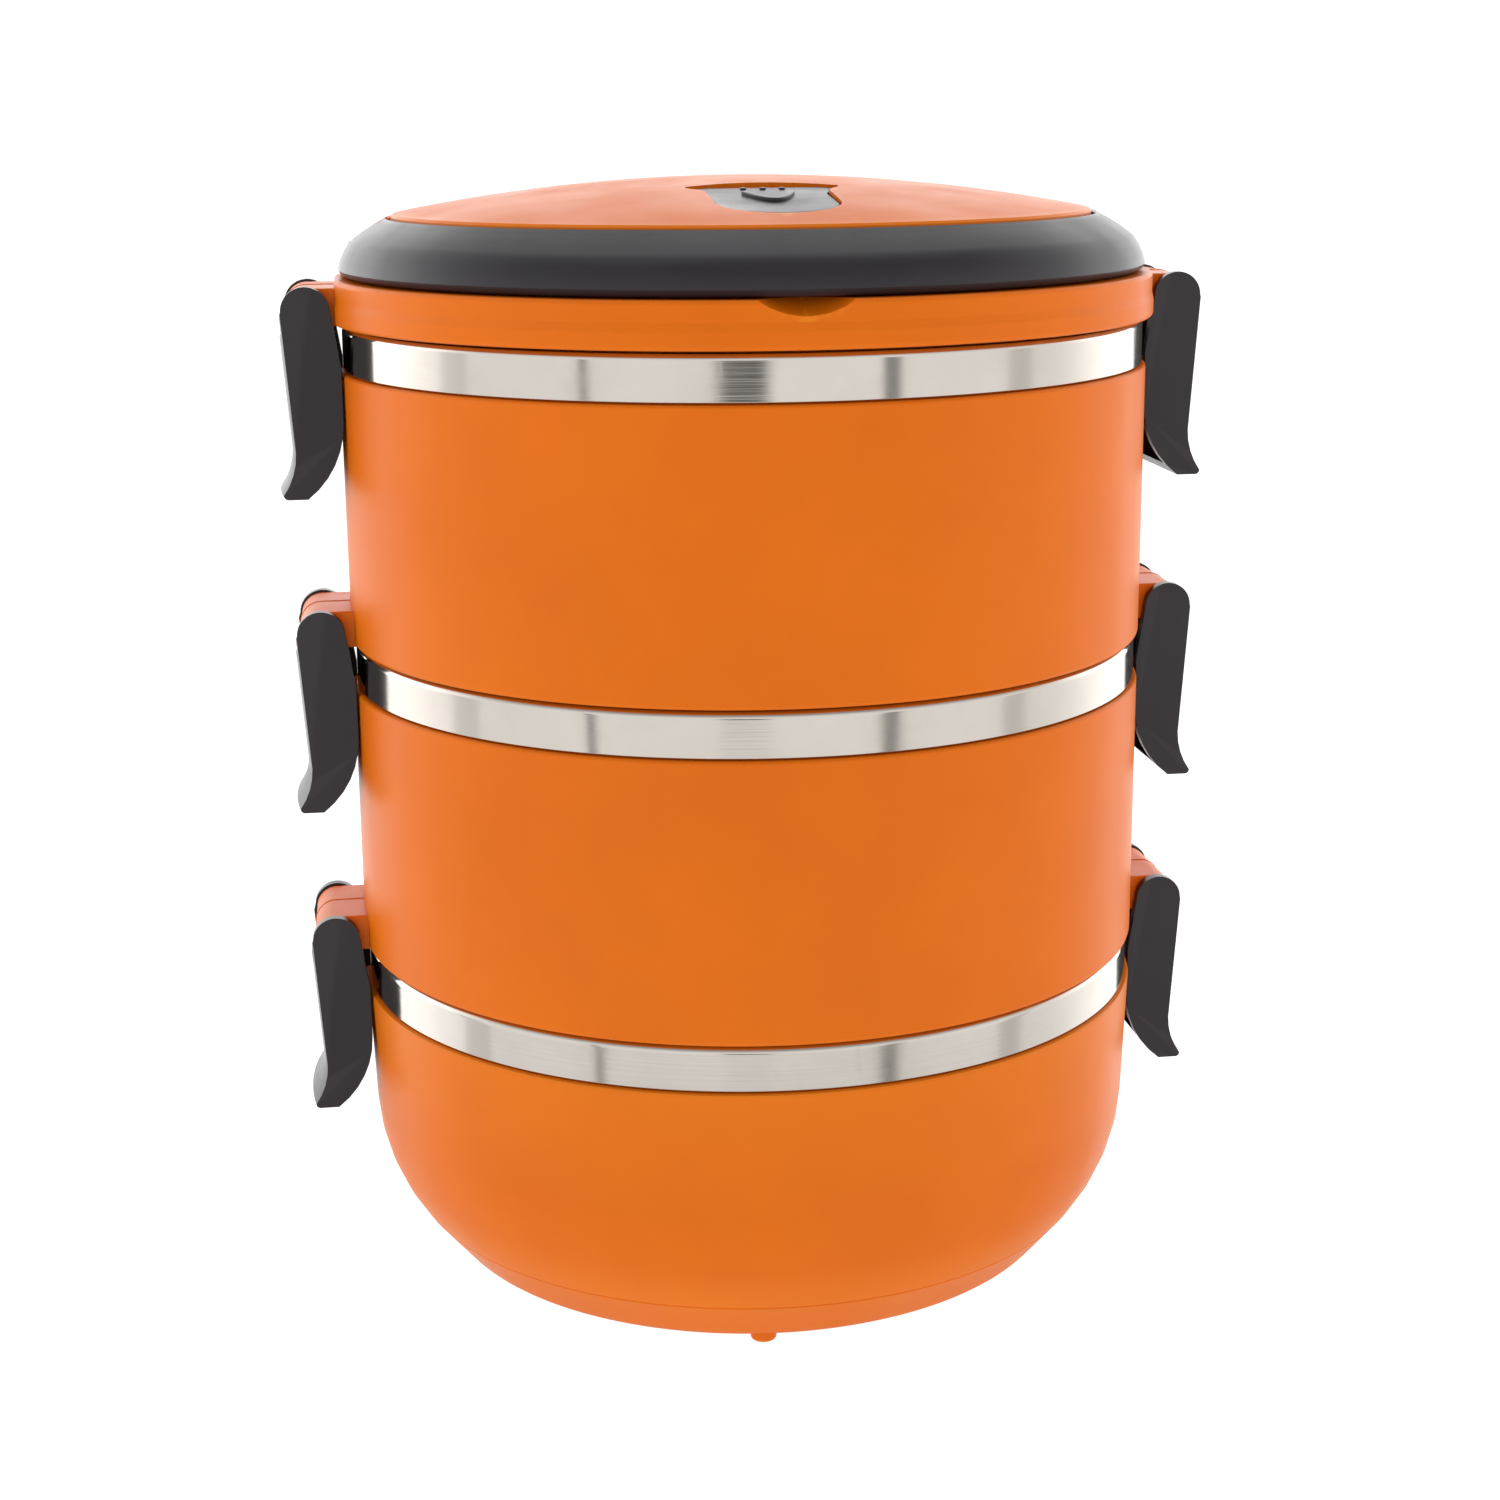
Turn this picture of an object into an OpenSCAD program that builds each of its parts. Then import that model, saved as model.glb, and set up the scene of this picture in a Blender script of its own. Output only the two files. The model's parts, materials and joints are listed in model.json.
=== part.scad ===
// Tiffin carrier: three round steel-lined tiers under a domed lid that has a
// folding carrying handle and a vent flap. Six side latches hold it together.
// Millimetres, +Z up, -Y is the front. The origin is the middle of the
// footprint, at the plane the feet stand on.

/* [Tiers] */
// Outer radius of the plastic shells
body_r = 72; // [71.5:0.1:72.5]
// Height of the base shell, from its base ring to the steel band
bowl_h = 51.4; // [50:0.1:60]
// Visible height of the middle and upper shells
shell_h = 48.2; // [46:0.1:60]
// Visible height of each steel band
band_h = 8.3; // [8:0.1:9]
// Thickness of the moulded walls
wall = 2.2; // [2:0.1:2.4]

/* [Base bowl] */
// Radius of the bowl's curved side in section
bowl_arc_r = 34.4; // [32:0.1:36]
// Height of the centre of that curve above the base ring
bowl_arc_z = 30; // [28:0.1:32]
// Draft of the wall above the curve, in degrees
bowl_draft = 2.14; // [1:0.01:3]
// Height of the crease where the bottom cone starts
crease_z = 9.5; // [8:0.1:11]
// Slope of the bottom cone, in degrees
cone_slope = 50.4; // [48:0.1:54]
// Radius that blends the cone into the flat bottom
base_blend_r = 6; // [4:0.5:7]
// Height of the moulded feet
foot_h = 1.5; // [1:0.1:2.5]
// Radius of a foot
foot_r = 2.3; // [2:0.1:3]
// Radius of the circle the feet stand on
foot_circle_r = 53.6; // [50:0.1:54]
// Turn of the feet about the axis, in degrees
foot_turn = 5.6; // [0:0.1:45]

/* [Steel liners] */
// Inside radius of a liner
liner_r = 65; // [64.8:0.1:65.2]
// Thickness of the steel sheet
sheet = 0.8; // [0.6:0.1:0.8]
// Outside radius of the turned-down rim, measured in from the shell
rim_inset = 0.7; // [0.5:0.1:0.9]
// Corner radius at the bottom of the middle and upper liners
liner_corner = 9; // [6:0.5:12]
// Corner radius at the bottom of the base liner
base_liner_corner = 14; // [12:0.5:16]

/* [Seals] */
// How far a plug reaches down into the liner below it
plug_h = 5; // [4.5:0.1:6]
// Radius of the plug's core, where the gasket sits
core_r = 60.5; // [60:0.1:61]
// Radius of the plug's flange
flange_r = 63.5; // [63:0.1:64]
// Outside radius of a gasket
gasket_r = 64.7; // [64.5:0.1:64.7]

/* [Lid] */
// Outer radius of the lid's rim
rim_r = 72.8; // [72.6:0.1:73]
// Height of the lid's rim
rim_h = 7.7; // [7.5:0.1:8]
// Radius of the dome's upright side
dome_r = 62.3; // [62:0.1:62.3]
// Height of the dome's edge above the lid's bottom
dome_edge_z = 18.4; // [18:0.1:18.8]
// Rise of the dome from its edge to its top
dome_rise = 6; // [5:0.1:7]

/* [Handle] */
// Height of the handle's pivot above the lid's bottom
pivot_z = 12.5; // [12.4:0.1:12.6]
// Inside radius of the handle
handle_r_in = 62.65; // [62.65:0.01:62.8]
// Radius of the rounded ends about the pivot
handle_end_r = 4.5; // [4:0.1:4.5]
// Radius of the steel pivot pins
handle_pin_r = 1.5; // [1.2:0.1:1.8]

/* [Latches] */
// Distance of a latch pivot from the axis
latch_pivot_r = 77.2; // [77.1:0.1:77.5]
// Height of a latch pivot above the seam
latch_pivot_z = 2.7; // [2.5:0.1:3]
// Width of a latch along its pivot
latch_w = 24; // [23:0.1:24.5]
// Thickness of a latch's cheeks
cheek = 1.8; // [1.6:0.1:2]
// Radius of the stub pins that the latch turns on
stub_r = 1.5; // [1.3:0.1:1.7]

/* [Vent] */
// Half width of the vent's recess, and the radius of its round front
vent_r = 10.4; // [10:0.1:11]
// Distance of the recess's front edge from the axis
vent_front = 53.6; // [52:0.1:54]
// Length of the recess from front to rear
vent_len = 30.9; // [30:0.1:32]
// Tilt of the flap, in degrees
vent_tilt = 5.8; // [5:0.01:6]

/* [Hidden] */
$fn = 96;

orange = "#e06c1a";
charcoal = "#46464a";
steel = "#c9c7c2";
silicone = "#e8e6e0";

// Clearances: between lifted pieces, and around a turning shaft
gap = 0.3;
running = 0.07;
// Overshoot that keeps cuts clean
over = 1;

// Heights of the three seams, counted from the floor
pitch = shell_h + band_h;
seam_1 = foot_h + bowl_h + band_h;
seam_2 = seam_1 + pitch;
seam_3 = seam_2 + pitch;

// The turned-down steel rim and the shell's neck that it covers
skirt_r = body_r - rim_inset;
neck_r = skirt_r - sheet;
neck_in_r = neck_r - wall;
rim_top = pitch - gap;
liner_floor_z = 3.4;
base_liner_floor_z = 7;
rim_bend_r = 1.4;

// The base bowl's section: centre of its side curve, then the cone below it
bowl_arc_x = body_r - bowl_arc_r * cos(bowl_draft)
    - (bowl_h - bowl_arc_z + bowl_arc_r * sin(bowl_draft)) * tan(bowl_draft);
crease_r = bowl_arc_x + sqrt(pow(bowl_arc_r, 2) - pow(bowl_arc_z - crease_z, 2));
cone_foot_r = crease_r - crease_z / tan(cone_slope);
base_recess_r = 47;
base_recess_h = 0.6;
foot_count = 4;

// Keepers that the latches hook under, measured down from the seam
keeper_w = 14;
keeper_depth = 3.2;
keeper_top = -band_h - 0.5;
keeper_bottom = keeper_top - 4.5;

// Latch lugs
lug_w = latch_w - 2 * cheek - 2 * gap;
lug_r = 3.8;
lug_root = 1.5;

// Latch section, measured from its pivot: [outwards, up]
latch_top_r = 4.2;
belly = [-5.7, -19];
belly_r = 16.6;
plate_top_v = -4.8;
plate_t = 2;
face_top_u = 5.2;
flare = [3.6, -24.1];
flare_r = 12.6;
lip_u = 6;
lip_r = 0.8;
tip_v = -32.3;
tip_wall = 2;
hook_u = body_r + keeper_depth + gap - latch_pivot_r;
hook_top_v = keeper_bottom - latch_pivot_z - 0.6;
hook_t = 2;
stub_l = 2.5;

// Lid
ledge_t = 3.4;
lid_proud = 0.3;
lid_proud_h = 3.4;
dome_lip_r = dome_r - 0.4;
dome_sphere_r = (pow(dome_lip_r, 2) + pow(dome_rise, 2)) / (2 * dome_rise);
lid_flat_r = rim_r - 0.7;
lid_flat_w = latch_w + 1.6;
scoop_r = 13.8;
scoop_at = [0, -75, rim_h + 11.1];
shoulder_y = 6.2;
dome_waist_z = pivot_z + 4;
handle_boss_r = 3.5;
handle_boss_x = 50;
handle_pin_x = [52, 69.2];

// Handle section: two arcs meet over a flat bottom
handle_side = [60.53, 6.82];
handle_side_r = 11.18;
handle_crown = [47.9, -13.6];
handle_crown_r = 34.72;
handle_bottom_z = rim_h + gap;
handle_foot_r = 1.2;
handle_foot_x = 71.3;
handle_wall = 2;
handle_solid_end = 9;

// Vent recess and flap, in a frame that lies in the flap's top face with its
// origin at the front edge and +Y towards the rear
ear_w = 13;
ear_front = vent_len - 4;
ear_slant = 3.5;
ear_corner = 1.9;
recess_depth = 2.5;
recess_rear = vent_len + 1.5;
recess_rear_r = 26;
pocket_t = 1.8;
flap_t = 1.5;
flap_hinge = [28.6, -0.8];
flap_stub_r = 0.6;
flap_rear = 29.6;
flap_ear_w = 11.6;
ridge_h = 0.6;
ridge_at = 13.4;
dot_pitch = 3.3;
vent_hole_at = 17;
vent_hole_r = 2;
vent_tube_r = 4;
seal_r = 4;
seal_t = 0.7;
vent_front_z = seam_3 + dome_edge_z + dome_rise
    - (dome_sphere_r - sqrt(pow(dome_sphere_r, 2) - pow(vent_front, 2)));

// ---- shared pieces of geometry ----

// What a rounded corner at p leaves over; side points into the material.
module corner_waste(p, r, side) {
    low = [side.x > 0 ? -over : -r, side.y > 0 ? -over : -r];
    translate(p) difference() {
        translate(low) square(r + over);
        translate(side * r) circle(r);
    }
}

module tube(r_out, r_in, z0, z1) {
    translate([0, 0, z0]) difference() {
        cylinder(r = r_out, h = z1 - z0);
        translate([0, 0, -over]) cylinder(r = r_in, h = z1 - z0 + 2 * over);
    }
}

// A cylinder along X that starts at x0.
module x_rod(r, x0, x1) {
    translate([x0, 0, 0]) rotate([0, 90, 0]) cylinder(r = r, h = x1 - x0);
}

// A cylinder along Y, centred.
module y_rod(r, w) {
    rotate([90, 0, 0]) cylinder(r = r, h = w, center = true);
}

// A section drawn in X and Z, extruded along Y about the middle.
module along_y(w) {
    rotate([90, 0, 0]) linear_extrude(w, center = true) children();
}

module both_sides() {
    children();
    mirror([1, 0, 0]) children();
}

// ---- tiers ----

// The neck above a shell, which the steel rim covers.
module neck_section(z) {
    difference() {
        translate([neck_in_r, z - 6]) square([wall, band_h - gap - sheet + 6]);
        corner_waste([neck_r, z + band_h - gap - sheet], 0.8, [-1, -1]);
        polygon([[neck_in_r - over, z - 6 - over], [body_r, z - 6 - over],
                 [body_r, z - 6], [neck_in_r + wall, z - 6],
                 [neck_in_r, z - 6 + wall], [neck_in_r - over, z - 6 + wall]]);
    }
}

module tier_shell_section() {
    difference() {
        square([body_r, shell_h]);
        translate([-over, wall]) square([body_r - wall + over, shell_h]);
        translate([-over, -over]) square([core_r + over, wall + 2 * over]);
        corner_waste([body_r, 0], 0.8, [-1, 1]);
        corner_waste([body_r, shell_h], 0.6, [-1, -1]);
    }
    neck_section(shell_h);
}

// The solid area inside the base bowl's outline, moved inwards by d.
module bowl_outline(d) {
    start = [bowl_arc_x, bowl_arc_z]
        + (bowl_arc_r - d) * [cos(bowl_draft), -sin(bowl_draft)];
    rise = bowl_h - start.y;
    crease = [crease_r, crease_z] + d * [-sin(cone_slope), cos(cone_slope)];
    foot_x = crease.x - (crease.y - d) / tan(cone_slope);
    difference() {
        intersection() {
            union() {
                translate([bowl_arc_x, bowl_arc_z]) circle(bowl_arc_r - d);
                polygon([[0, d], [bowl_arc_x, d], [bowl_arc_x, start.y],
                         start, [start.x + rise * tan(bowl_draft), bowl_h],
                         [0, bowl_h]]);
            }
            polygon([[0, d], [foot_x, d], crease + 40 * [cos(cone_slope), sin(cone_slope)],
                     [crease.x + 40, bowl_h], [0, bowl_h]]);
        }
        if (d == 0) base_blend_waste();
    }
}

// What the rounded edge between the cone and the flat bottom leaves over.
module base_blend_waste() {
    reach = base_blend_r * tan(cone_slope / 2);
    centre = [cone_foot_r - reach, base_blend_r];
    difference() {
        polygon([centre, [centre.x, -over], [cone_foot_r + over, -over],
                 [cone_foot_r + reach * cos(cone_slope) + over, reach * sin(cone_slope) - over],
                 [cone_foot_r + reach * cos(cone_slope), reach * sin(cone_slope)]]);
        translate(centre) circle(base_blend_r);
    }
}

module base_shell_section() {
    difference() {
        bowl_outline(0);
        difference() {
            bowl_outline(wall);
            translate([0, bowl_h]) square([body_r, over]);
        }
        translate([0, bowl_h - over]) square([body_r - wall, 2 * over]);
        translate([-over, -over]) square([base_recess_r + over, base_recess_h + over]);
        corner_waste([body_r, bowl_h], 0.6, [-1, -1]);
    }
    neck_section(bowl_h);
}

// Lugs that carry a pair of latches; z = 0 is the seam.
module latch_lugs(wall_r) {
    both_sides() difference() {
        intersection() {
            along_y(lug_w) union() {
                translate([latch_pivot_r, latch_pivot_z]) circle(lug_r);
                translate([wall_r - lug_root, 0])
                    square([latch_pivot_r - wall_r + lug_root, latch_pivot_z + lug_r]);
            }
            translate([0, -lug_w, 0]) cube([2 * body_r, 2 * lug_w, 2 * lug_r + latch_pivot_z]);
        }
        translate([latch_pivot_r, 0, latch_pivot_z]) y_rod(stub_r + running, lug_w + over);
    }
}

// Ledges that a pair of latches hooks under; z = 0 is the seam above.
module keepers() {
    out_r = body_r + keeper_depth;
    both_sides() along_y(keeper_w)
        polygon([[body_r - 1.2, keeper_bottom], [out_r, keeper_bottom],
                 [out_r, keeper_top - 1.2], [out_r - 1, keeper_top],
                 [body_r - 1.2, keeper_top]]);
}

module tier_shell() {
    color(orange) {
        rotate_extrude() tier_shell_section();
        latch_lugs(body_r);
        translate([0, 0, pitch]) keepers();
    }
}

module base_shell() {
    color(orange) translate([0, 0, foot_h]) {
        rotate_extrude() base_shell_section();
        translate([0, 0, bowl_h + band_h]) keepers();
        for (i = [0 : foot_count - 1])
            rotate([0, 0, -90 - foot_turn + i * 360 / foot_count])
                translate([foot_circle_r, 0, -foot_h]) base_foot();
    }
}

module base_foot() {
    rotate_extrude() difference() {
        square([foot_r, foot_h + wall]);
        corner_waste([foot_r, 0], 0.6, [-1, 1]);
    }
}

// A steel liner hanging from its rim; floor_z and top_z are its heights.
module liner(floor_z, corner, top_z) {
    color(steel) rotate_extrude() {
        difference() {
            cup_outline(liner_r + sheet, floor_z, top_z, corner);
            cup_outline(liner_r, floor_z + sheet, top_z + over, corner - sheet);
            corner_waste([liner_r, top_z], 1.2, [1, -1]);
        }
        difference() {
            translate([liner_r, top_z - band_h + gap + 0.2])
                square([skirt_r - liner_r, band_h - gap - 0.2]);
            difference() {
                translate([liner_r - over, top_z - band_h - over])
                    square([neck_r - liner_r + over, band_h - sheet + over]);
                corner_waste([neck_r, top_z - sheet], rim_bend_r - sheet, [-1, -1]);
            }
            corner_waste([skirt_r, top_z], rim_bend_r, [-1, -1]);
            corner_waste([liner_r, top_z], 1.2, [1, -1]);
        }
    }
}

module cup_outline(r, z0, z1, corner) {
    difference() {
        translate([0, z0]) square([r, z1 - z0]);
        corner_waste([r, z0], corner, [-1, 1]);
    }
}

// The plug under a tier: a flanged cup pushed up into the shell's floor.
module tier_floor() {
    color(orange) rotate_extrude() plug_section(wall);
}

module plug_section(top) {
    difference() {
        union() {
            translate([0, -plug_h]) square([flange_r, wall - 0.2]);
            translate([core_r - wall, -plug_h]) square([wall, plug_h + top]);
        }
        corner_waste([flange_r, -plug_h], 0.8, [-1, 1]);
    }
}

// A ring gasket in the groove of a plug: a body and two thin lips.
module gasket() {
    groove_low = -plug_h + wall - 0.2;
    lip = -groove_low / 4;
    color(silicone) rotate_extrude()
        polygon([[core_r, groove_low], [flange_r - 0.3, groove_low],
                 [gasket_r, groove_low + lip], [flange_r, groove_low + 1.7 * lip],
                 [flange_r, groove_low + 2.3 * lip], [gasket_r, groove_low + 3 * lip],
                 [flange_r - 0.3, 0], [core_r, 0]]);
}

// ---- lid ----

module dome_section(d) {
    apex = dome_edge_z + dome_rise;
    intersection() {
        translate([0, apex - dome_sphere_r]) circle(dome_sphere_r - d, $fn = 720);
        polygon([[0, 0], [dome_r - d, 0], [dome_r - d, pivot_z],
                 [dome_lip_r - d, dome_waist_z], [dome_lip_r - d, apex + over], [0, apex + over]]);
    }
}

module rim_section() {
    difference() {
        union() {
            square([rim_r, rim_h]);
            square([rim_r + lid_proud, lid_proud_h]);
        }
        corner_waste([rim_r, rim_h], 0.8, [-1, -1]);
        corner_waste([rim_r + lid_proud, 0], 0.8, [-1, 1]);
        translate([-over, -over]) square([rim_r - wall + over, rim_h - ledge_t + over]);
    }
}

// The section that the handle and the shoulder behind it share.
module handle_section(d) {
    intersection() {
        translate(handle_side) circle(handle_side_r - d);
        translate(handle_crown) circle(handle_crown_r - d, $fn = 240);
        translate([handle_r_in + d, 0]) square([20, 20]);
    }
}

module lid_shell() {
    color(orange) translate([0, 0, seam_3]) {
        difference() {
            union() {
                difference() {
                    union() {
                        rotate_extrude() rim_section();
                        shoulder();
                    }
                    both_sides() translate([lid_flat_r, -lid_flat_w / 2, -over])
                        cube([rim_h, lid_flat_w, rim_h + 2 * over]);
                    translate(scoop_at) sphere(scoop_r);
                }
                rotate_extrude() difference() {
                    dome_section(0);
                    square([body_r, rim_h - ledge_t]);
                }
            }
            rotate_extrude() dome_section(wall);
            both_sides() translate([0, 0, pivot_z])
                x_rod(handle_pin_r, handle_boss_x + over, dome_r + over);
            in_vent_frame() recess();
        }
        both_sides() translate([0, 0, pivot_z]) difference() {
            x_rod(handle_boss_r, handle_boss_x, dome_r - wall + 0.3);
            x_rod(handle_pin_r, handle_pin_x[0], dome_r + over);
        }
        vent_pocket();
        latch_lugs(lid_flat_r);
    }
}

// The fixed half ring behind the handle, hollow from below.
module shoulder() {
    intersection() {
        rotate_extrude() difference() {
            union() {
                handle_section(0);
                translate([dome_r - 0.5, rim_h - over]) square([4, pivot_z + 5 - rim_h]);
            }
            intersection() {
                handle_section(handle_wall);
                translate([0, -over]) square([100, 20]);
            }
            square([100, rim_h - over]);
        }
        translate([-100, shoulder_y, 0]) cube([200, 100, 30]);
    }
}

// Places children in the flap's frame, relative to the lid's bottom.
module in_vent_frame() {
    translate([0, -vent_front, vent_front_z - seam_3]) rotate([vent_tilt, 0, 0]) children();
}

// Plan of the recess or the flap: a round front, straight sides and two ears at the rear.
module vent_outline(half_w, rear, ear, grow = 0) {
    side = half_w + grow;
    tip = ear + grow;
    translate([0, vent_r]) circle(side);
    polygon([[-side, vent_r], [-side, ear_front - ear_slant], [-tip, ear_front],
             [-tip, rear - ear_corner], [ear_corner - tip, rear + grow],
             [tip - ear_corner, rear + grow], [tip, rear - ear_corner],
             [tip, ear_front], [side, ear_front - ear_slant], [side, vent_r]]);
}

// Plan of the recess, whose rear edge is bowed.
module recess_outline(grow = 0) {
    intersection() {
        vent_outline(vent_r, recess_rear + ear_corner, ear_w, grow);
        translate([0, recess_rear - recess_rear_r]) circle(recess_rear_r + grow, $fn = 240);
    }
}

module recess() {
    translate([0, 0, -recess_depth]) linear_extrude(10) recess_outline();
    both_sides() translate([0, flap_hinge.x, flap_hinge.y])
        x_rod(flap_stub_r + running, ear_w - over, ear_w + 1.2);
}

// The recess's floor and walls under the dome, and the vent tube below it.
module vent_pocket() {
    difference() {
        union() {
            intersection() {
                in_vent_frame() translate([0, 0, -recess_depth - pocket_t])
                    linear_extrude(12) recess_outline(pocket_t);
                rotate_extrude() difference() {
                    dome_section(0.4);
                    square([body_r, rim_h]);
                }
            }
            translate([0, -vent_front + vent_hole_at, -plug_h + wall - 0.2])
                cylinder(r = vent_tube_r, h = dome_edge_z + plug_h - wall + 0.2);
        }
        in_vent_frame() recess();
        translate([0, -vent_front + vent_hole_at, -plug_h])
            cylinder(r = vent_hole_r, h = 40);
    }
}

// The lid's inner plate: it closes the hollow lid and carries the gasket.
module lid_plate() {
    color(orange) translate([0, 0, seam_3]) difference() {
        rotate_extrude() {
            plug_section(wall);
            translate([core_r - wall, 0]) square([rim_r - wall - core_r, wall]);
        }
        translate([0, -vent_front + vent_hole_at, -plug_h - over])
            cylinder(r = vent_hole_r, h = wall + 2 * over);
    }
}

module handle() {
    pivot = seam_3 + pivot_z;
    color(charcoal) difference() {
        intersection() {
            translate([0, 0, seam_3]) rotate_extrude() difference() {
                handle_section(0);
                square([100, handle_bottom_z]);
                corner_waste([handle_foot_x, handle_bottom_z], handle_foot_r, [-1, 1]);
            }
            union() {
                translate([-100, -100, 0]) cube([200, 100, 300]);
                translate([0, 0, pivot]) x_rod(handle_end_r, -100, 100);
            }
        }
        intersection() {
            translate([0, 0, seam_3]) rotate_extrude() handle_section(handle_wall);
            translate([-100, -100 - handle_solid_end, 0]) cube([200, 100, 300]);
        }
        both_sides() translate([0, 0, pivot]) x_rod(handle_pin_r + running, 60, handle_pin_x[1] + gap);
    }
}

module handle_pin() {
    color(steel) translate([0, 0, seam_3 + pivot_z])
        x_rod(handle_pin_r, handle_pin_x[0], handle_pin_x[1]);
}

module vent_flap() {
    color(charcoal) translate([0, 0, seam_3]) in_vent_frame() {
        difference() {
            translate([0, 0, -flap_t]) linear_extrude(flap_t)
                vent_outline(vent_r - gap, flap_rear, flap_ear_w);
            translate([0, vent_hole_at, -flap_t - over]) cylinder(r = 1.2, h = over + 0.6);
        }
        both_sides() translate([0, flap_hinge.x, flap_hinge.y])
            x_rod(flap_stub_r, flap_ear_w - over, ear_w + 0.9);
        // finger ridge, a shallow V that points to the front
        translate([0, ridge_at, 0]) both_sides() rotate([0, 0, 28])
            translate([-0.3, -0.5, -ridge_h / 2]) cube([5, 1, 1.5 * ridge_h]);
        for (x = [-dot_pitch, 0, dot_pitch])
            translate([x, flap_rear - 2.2, -ridge_h / 2]) cylinder(r = 0.5, h = ridge_h);
    }
}

module vent_seal() {
    color(silicone) translate([0, 0, seam_3]) in_vent_frame() translate([0, vent_hole_at, 0]) {
        translate([0, 0, -flap_t - seal_t]) cylinder(r = seal_r, h = seal_t);
        translate([0, 0, -flap_t]) cylinder(r = 1.2, h = 0.6);
    }
}

// ---- latches ----

// Side outline of a latch's cheeks about its pivot, open on the outside.
module cheek_section() {
    circle(latch_top_r);
    intersection() {
        polygon([[-latch_top_r, 0], [belly.x, belly.y / 2], [belly.x, tip_v],
                 [2 * lip_u, tip_v], [2 * lip_u, plate_top_v], [lip_u, plate_top_v],
                 [latch_top_r, 0]]);
        union() {
            translate([belly.x, belly.y]) square([-4 * belly.x, -belly.y]);
            translate([belly.x + belly_r, belly.y]) circle(belly_r);
        }
    }
}

// What lies inside the latch's round outer face, with its thumb lip.
module face_section() {
    difference() {
        polygon([[3 * belly.x, 2 * latch_top_r], [face_top_u, 2 * latch_top_r], [face_top_u, 0],
                 flare, [lip_u, flare.y], [lip_u, tip_v], [3 * belly.x, tip_v]]);
        translate([flare.x + flare_r, flare.y]) circle(flare_r);
        corner_waste([lip_u, tip_v], lip_r, [-1, 1]);
    }
}

// The hollow between the cheeks, behind the outer plate.
module channel_section() {
    lean = (face_top_u - flare.x) / flare.y;
    floor_v = tip_v + tip_wall;
    polygon([[3 * belly.x, floor_v], [face_top_u - plate_t - lean * floor_v, floor_v],
             [face_top_u - plate_t, 0], [3 * belly.x, 0]]);
    translate([3 * belly.x, plate_top_v])
        square([-6 * belly.x, 3 * latch_top_r]);
}

// The right latch of a pair; z = 0 is its seam. Its outer face follows the tiers.
module latch() {
    inside_w = latch_w - 2 * cheek;
    color(charcoal) translate([latch_pivot_r, 0, latch_pivot_z]) {
        difference() {
            intersection() {
                along_y(latch_w) cheek_section();
                translate([-latch_pivot_r, 0, 0]) rotate_extrude()
                    translate([latch_pivot_r, 0]) face_section();
            }
            along_y(inside_w) channel_section();
        }
        along_y(keeper_w) translate([hook_u, hook_top_v - hook_t])
            square([flare.x - plate_t - hook_u + 1, hook_t]);
        for (side = [-1, 1])
            translate([0, side * (inside_w - stub_l + 0.5) / 2, 0])
                y_rod(stub_r, stub_l + 0.5);
    }
}

module at_seam(z) {
    translate([0, 0, z]) children();
}

base_shell();
liner(foot_h + base_liner_floor_z, base_liner_corner, seam_1 - gap);  // base_liner
at_seam(seam_1) tier_shell();  // middle_shell
at_seam(seam_1) liner(liner_floor_z, liner_corner, rim_top);  // middle_liner
at_seam(seam_1) tier_floor();  // middle_floor
at_seam(seam_1) gasket();  // middle_gasket
at_seam(seam_2) tier_shell();  // upper_shell
at_seam(seam_2) liner(liner_floor_z, liner_corner, rim_top);  // upper_liner
at_seam(seam_2) tier_floor();  // upper_floor
at_seam(seam_2) gasket();  // upper_gasket
lid_shell();
lid_plate();
at_seam(seam_3) gasket();  // lid_gasket
handle();
mirror([1, 0, 0]) handle_pin();  // handle_pin_left
handle_pin();  // handle_pin_right
vent_flap();
vent_seal();
at_seam(seam_1) mirror([1, 0, 0]) latch();  // middle_latch_left
at_seam(seam_1) latch();  // middle_latch_right
at_seam(seam_2) mirror([1, 0, 0]) latch();  // upper_latch_left
at_seam(seam_2) latch();  // upper_latch_right
at_seam(seam_3) mirror([1, 0, 0]) latch();  // lid_latch_left
at_seam(seam_3) latch();  // lid_latch_right
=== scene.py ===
"""A tiffin carrier: three steel-lined orange tiers, a domed lid with a folding handle and a vent
flap, and six charcoal side latches. Lengths in this file are millimetres until mesh() scales them."""
import json
import math

import bmesh
import bpy
from mathutils import Matrix, Vector


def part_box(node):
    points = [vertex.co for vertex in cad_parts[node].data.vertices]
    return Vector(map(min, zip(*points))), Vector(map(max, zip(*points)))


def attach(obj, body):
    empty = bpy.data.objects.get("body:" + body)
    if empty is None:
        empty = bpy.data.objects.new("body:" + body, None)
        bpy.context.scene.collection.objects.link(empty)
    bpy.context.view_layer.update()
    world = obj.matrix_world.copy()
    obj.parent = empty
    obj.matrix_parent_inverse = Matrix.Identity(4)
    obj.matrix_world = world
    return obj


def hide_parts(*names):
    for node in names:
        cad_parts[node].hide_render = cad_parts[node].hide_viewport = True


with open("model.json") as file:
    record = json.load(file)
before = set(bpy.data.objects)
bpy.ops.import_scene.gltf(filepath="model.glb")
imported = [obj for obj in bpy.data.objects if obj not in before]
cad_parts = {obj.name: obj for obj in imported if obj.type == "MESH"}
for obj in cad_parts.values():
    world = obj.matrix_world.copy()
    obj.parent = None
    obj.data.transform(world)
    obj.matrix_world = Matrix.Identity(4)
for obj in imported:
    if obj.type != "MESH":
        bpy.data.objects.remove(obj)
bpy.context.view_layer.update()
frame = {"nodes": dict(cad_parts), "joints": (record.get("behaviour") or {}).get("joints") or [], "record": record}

MM = 0.001
SEGMENTS = 256          # round a full turn
ARC_STEP = 9.0          # degrees between points on a rounded corner

# ---- sizes that the looks share, in the frame's own numbers ----


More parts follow.
